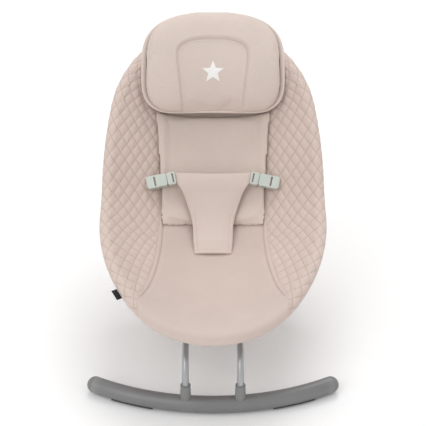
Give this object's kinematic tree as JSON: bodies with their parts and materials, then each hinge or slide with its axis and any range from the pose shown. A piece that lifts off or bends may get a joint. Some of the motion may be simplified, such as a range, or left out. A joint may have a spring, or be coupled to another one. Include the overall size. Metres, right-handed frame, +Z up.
{
  "type": "baby bouncer seat",
  "caption": "Oval fabric baby bouncer seat with quilted sides, head pillow and harness on a folding two-bar stand.",
  "frame": {"origin": "on the floor under the middle of the two floor bars", "axes": "+X to the right seen from the front, +Y to the back, +Z up; the seat faces -Y"},
  "size_m": [0.4798, 0.732, 0.551],
  "materials": {
    "bar_paint": "satin grey powder coat",
    "socket_plastic": "matt grey moulding",
    "cap_plastic": "matt grey moulding",
    "rubber": "matt grey rubber",
    "tube_paint": "satin silver-grey paint",
    "zinc_steel": "zinc-plated steel",
    "hub_plastic": "fine-textured grey moulding",
    "lever_plastic": "light grey moulding",
    "buckle_plastic": "light greenish grey acetal",
    "webbing": "woven sand webbing",
    "quilted_fabric": "diamond-quilted sand cotton",
    "seat_fabric": "plain-woven sand cotton",
    "insert_fabric": "smooth sand jersey over thin padding",
    "pillow_fabric": "smooth sand jersey over filling",
    "tag_fabric": "black woven tag"
  },
  "bodies": {
    "stand": {"front_bar": "bar_paint", "front_end_caps": "cap_plastic", "front_grip_pads": "rubber", "front_socket_left": "socket_plastic", "front_socket_right": "socket_plastic", "front_tube_left": "tube_paint", "front_tube_right": "tube_paint", "hub_lower": "hub_plastic", "hub_upper": "hub_plastic", "hub_screws": "zinc_steel", "leg_pin": "zinc_steel", "rock_pin": "zinc_steel", "stop_buffers": "rubber", "button_spring": "zinc_steel"},
    "rear_legs": {"rear_bar": "bar_paint", "rear_end_caps": "cap_plastic", "rear_grip_pads": "rubber", "rear_socket_left": "socket_plastic", "rear_socket_right": "socket_plastic", "rear_tube_left": "tube_paint", "rear_tube_right": "tube_paint", "leg_knuckle": "hub_plastic"},
    "fold_button_left": {"fold_button_left": "lever_plastic"},
    "fold_button_right": {"fold_button_right": "lever_plastic"},
    "carrier": {"carrier_base": "hub_plastic", "carrier_caps": "hub_plastic", "cap_screws": "zinc_steel", "rock_bushes": "rubber", "lever_pin": "zinc_steel"},
    "recline_lever": {"recline_lever": "lever_plastic"},
    "seat": {"cross_tube": "tube_paint", "recline_sector": "zinc_steel", "hip_joint_left": "hub_plastic", "hip_joint_right": "hub_plastic", "ring_tube_back": "tube_paint", "ring_tube_leg": "tube_paint", "sleeve_back": "quilted_fabric", "sleeve_leg": "quilted_fabric", "side_panel_left": "quilted_fabric", "side_panel_right": "quilted_fabric", "middle_panel": "seat_fabric", "newborn_insert": "insert_fabric", "head_pillow": "pillow_fabric", "crotch_flap": "insert_fabric", "side_strap_left": "webbing", "side_strap_right": "webbing", "buckle_housing_left": "buckle_plastic", "buckle_housing_right": "buckle_plastic", "side_tag": "tag_fabric"},
    "plug_left": {"buckle_plug_left": "buckle_plastic", "belt_end_left": "webbing"},
    "latch_arm_upper_left": {"latch_arm_upper_left": "buckle_plastic"},
    "latch_arm_lower_left": {"latch_arm_lower_left": "buckle_plastic"},
    "plug_right": {"buckle_plug_right": "buckle_plastic", "belt_end_right": "webbing"},
    "latch_arm_upper_right": {"latch_arm_upper_right": "buckle_plastic"},
    "latch_arm_lower_right": {"latch_arm_lower_right": "buckle_plastic"}
  },
  "joints": [
    {"name": "leg_fold", "type": "hinge", "parent": "stand", "child": "rear_legs", "pos_m": [0, 0.08, 0.058], "axis": [1, 0, 0], "range_deg": [-168, 0]},
    {"name": "fold_button_right_press", "type": "slide", "parent": "stand", "child": "fold_button_right", "axis": [-1, 0, 0], "range_m": [0, 0.003], "stiffness_N_per_m": 400},
    {"name": "fold_button_left_press", "type": "slide", "parent": "stand", "child": "fold_button_left", "axis": [1, 0, 0], "range_m": [0, 0.003], "stiffness_N_per_m": 400},
    {"name": "bounce", "type": "hinge", "parent": "stand", "child": "carrier", "pos_m": [0, -0.04, 0.098], "axis": [1, 0, 0], "range_deg": [-3, 3], "stiffness_Nm_per_rad": 120},
    {"name": "recline", "type": "hinge", "parent": "carrier", "child": "seat", "pos_m": [0, 0.0076, 0.107], "axis": [1, 0, 0], "range_deg": [-18, 0]},
    {"name": "lever_lift", "type": "hinge", "parent": "carrier", "child": "recline_lever", "pos_m": [0, 0.05, 0.128], "axis": [1, 0, 0], "range_deg": [0, 14], "stiffness_Nm_per_rad": 1, "springref_deg": -8.59},
    {"name": "plug_right_pull", "type": "slide", "parent": "seat", "child": "plug_right", "axis": [-0.9781, 0.1545, 0.1391], "range_m": [0, 0.02]},
    {"name": "arm_upper_right_squeeze", "type": "hinge", "parent": "plug_right", "child": "latch_arm_upper_right", "pos_m": [0.09943, 0.09066, 0.26398], "axis": [0, -0.6691, 0.7431], "range_deg": [-5, 0], "stiffness_Nm_per_rad": 0.05},
    {"name": "arm_lower_right_squeeze", "type": "hinge", "parent": "plug_right", "child": "latch_arm_lower_right", "pos_m": [0.09585, 0.07815, 0.25273], "axis": [0, -0.6691, 0.7431], "range_deg": [0, 5], "stiffness_Nm_per_rad": 0.05},
    {"name": "plug_left_pull", "type": "slide", "parent": "seat", "child": "plug_left", "axis": [0.9781, 0.1545, 0.1391], "range_m": [0, 0.02]},
    {"name": "arm_upper_left_squeeze", "type": "hinge", "parent": "plug_left", "child": "latch_arm_upper_left", "pos_m": [-0.09943, 0.09066, 0.26398], "axis": [0, -0.6691, 0.7431], "range_deg": [0, 5], "stiffness_Nm_per_rad": 0.05},
    {"name": "arm_lower_left_squeeze", "type": "hinge", "parent": "plug_left", "child": "latch_arm_lower_left", "pos_m": [-0.09585, 0.07815, 0.25273], "axis": [0, -0.6691, 0.7431], "range_deg": [-5, 0], "stiffness_Nm_per_rad": 0.05}
  ],
  "couplings": [
    {"joint": "arm_lower_right_squeeze", "follows": "arm_upper_right_squeeze", "ratio": -1},
    {"joint": "arm_lower_left_squeeze", "follows": "arm_upper_left_squeeze", "ratio": -1}
  ]
}
